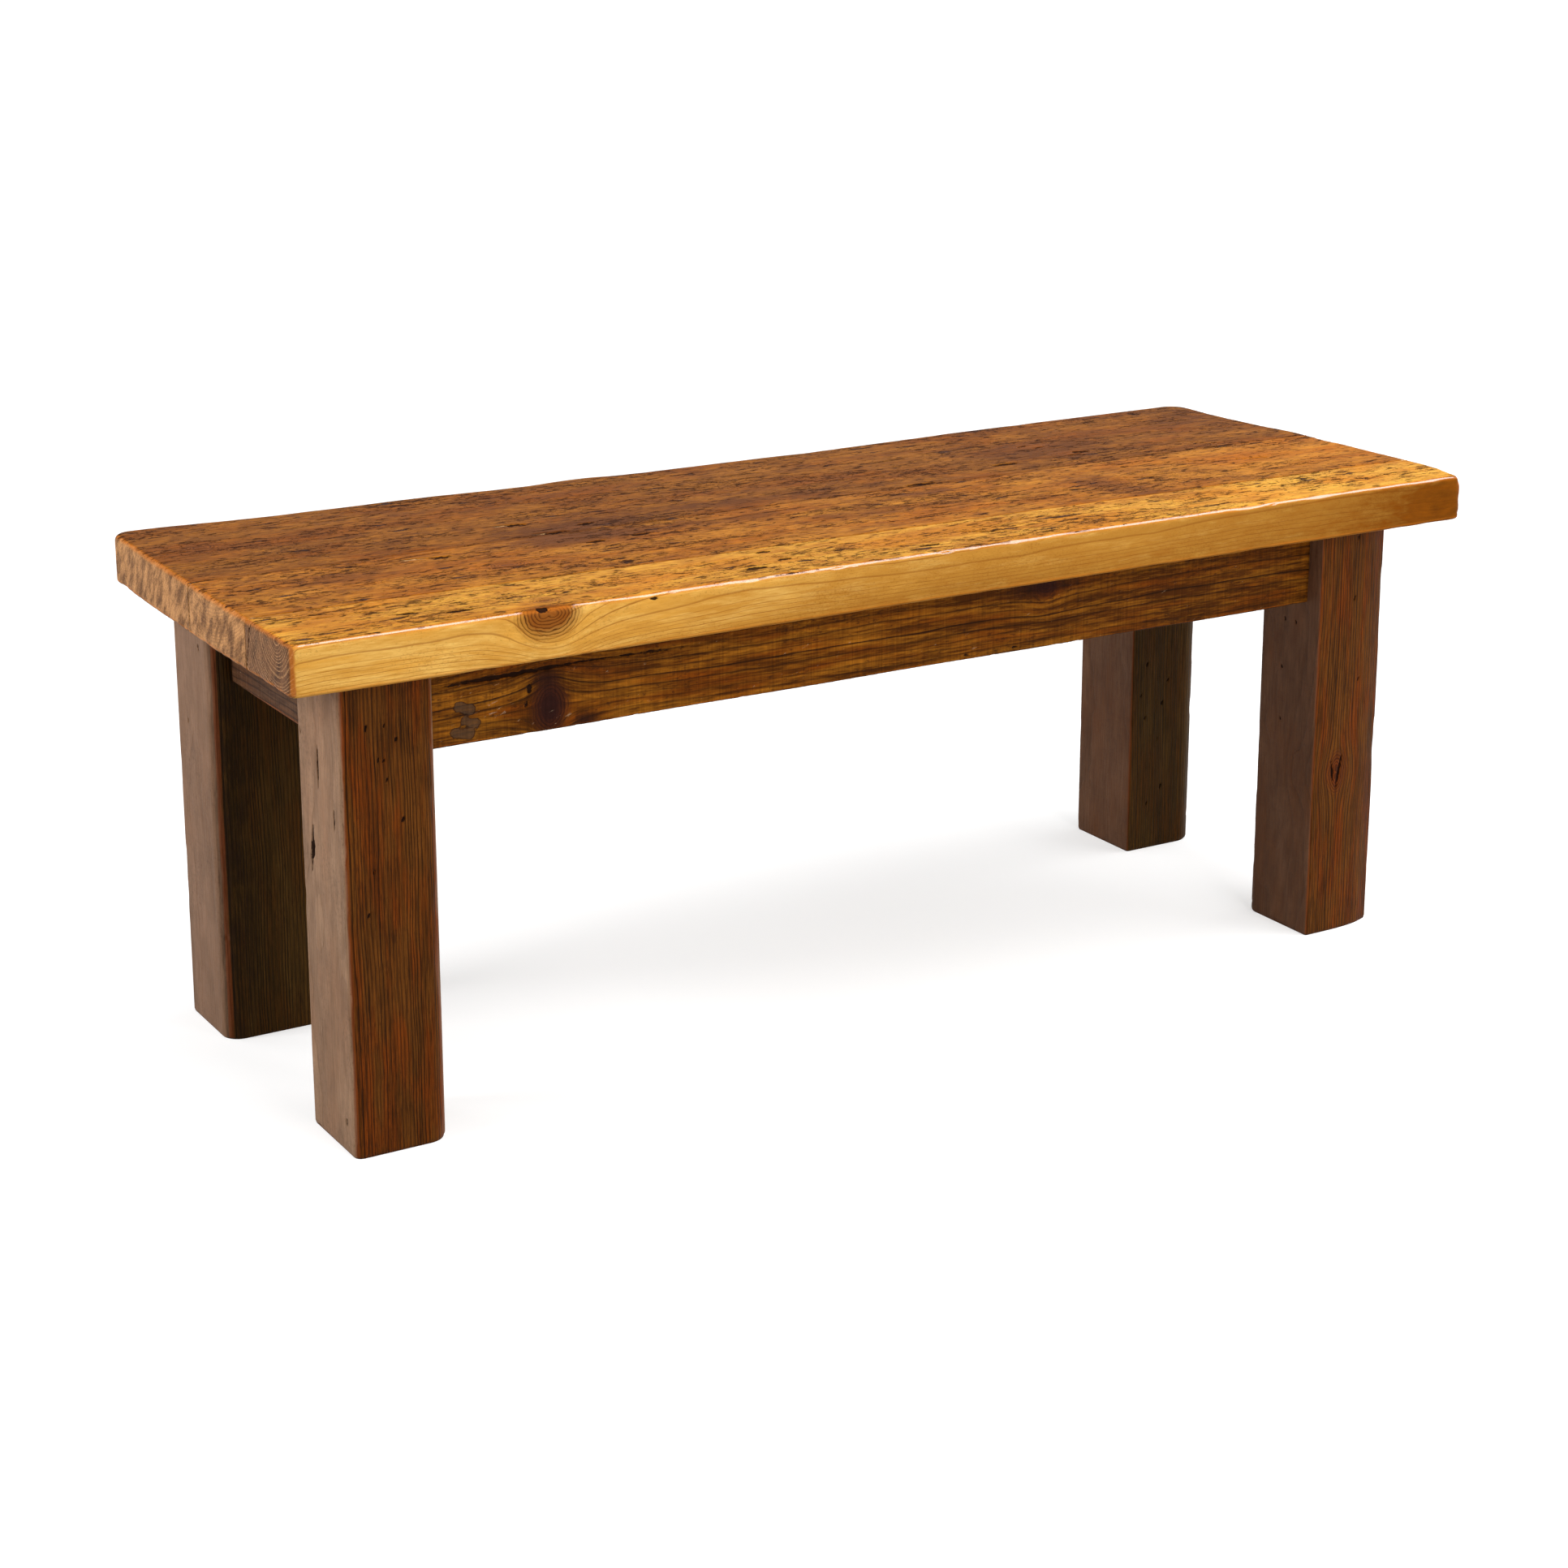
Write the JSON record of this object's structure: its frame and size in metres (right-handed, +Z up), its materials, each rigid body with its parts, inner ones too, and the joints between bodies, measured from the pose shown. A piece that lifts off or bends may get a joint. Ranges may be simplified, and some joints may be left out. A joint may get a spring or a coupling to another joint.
{
  "type": "rustic bench",
  "caption": "Low backless bench in reclaimed softwood: thick edge-joined board seat with waney edges on square posts, with aprons tenoned into the posts.",
  "frame": {"origin": "on the floor, under the middle of the seat", "axes": "+X along the seat, to the right seen from the front; +Y to the rear; +Z up"},
  "size_m": [1.22, 0.442, 0.458],
  "materials": {
    "seat_wood": "old softwood, oiled and varnished to a satin gloss",
    "leg_wood": "dark old softwood, worn, dull varnish",
    "apron_wood": "rough-sawn old softwood, varnished",
    "tongue_wood": "bare hardwood",
    "button_wood": "bare hardwood",
    "screw_steel": "plain steel"
  },
  "bodies": {
    "root": {"seat_board_front": "seat_wood", "seat_board_middle": "seat_wood", "seat_board_rear": "seat_wood", "front_joint_tongue": "tongue_wood", "rear_joint_tongue": "tongue_wood", "front_left_leg": "leg_wood", "front_right_leg": "leg_wood", "rear_left_leg": "leg_wood", "rear_right_leg": "leg_wood", "front_apron": "apron_wood", "rear_apron": "apron_wood", "left_apron": "apron_wood", "right_apron": "apron_wood", "front_left_button": "button_wood", "front_middle_button": "button_wood", "front_right_button": "button_wood", "rear_left_button": "button_wood", "rear_middle_button": "button_wood", "rear_right_button": "button_wood", "left_end_button": "button_wood", "right_end_button": "button_wood", "button_screws": "screw_steel"}
  },
  "joints": []
}
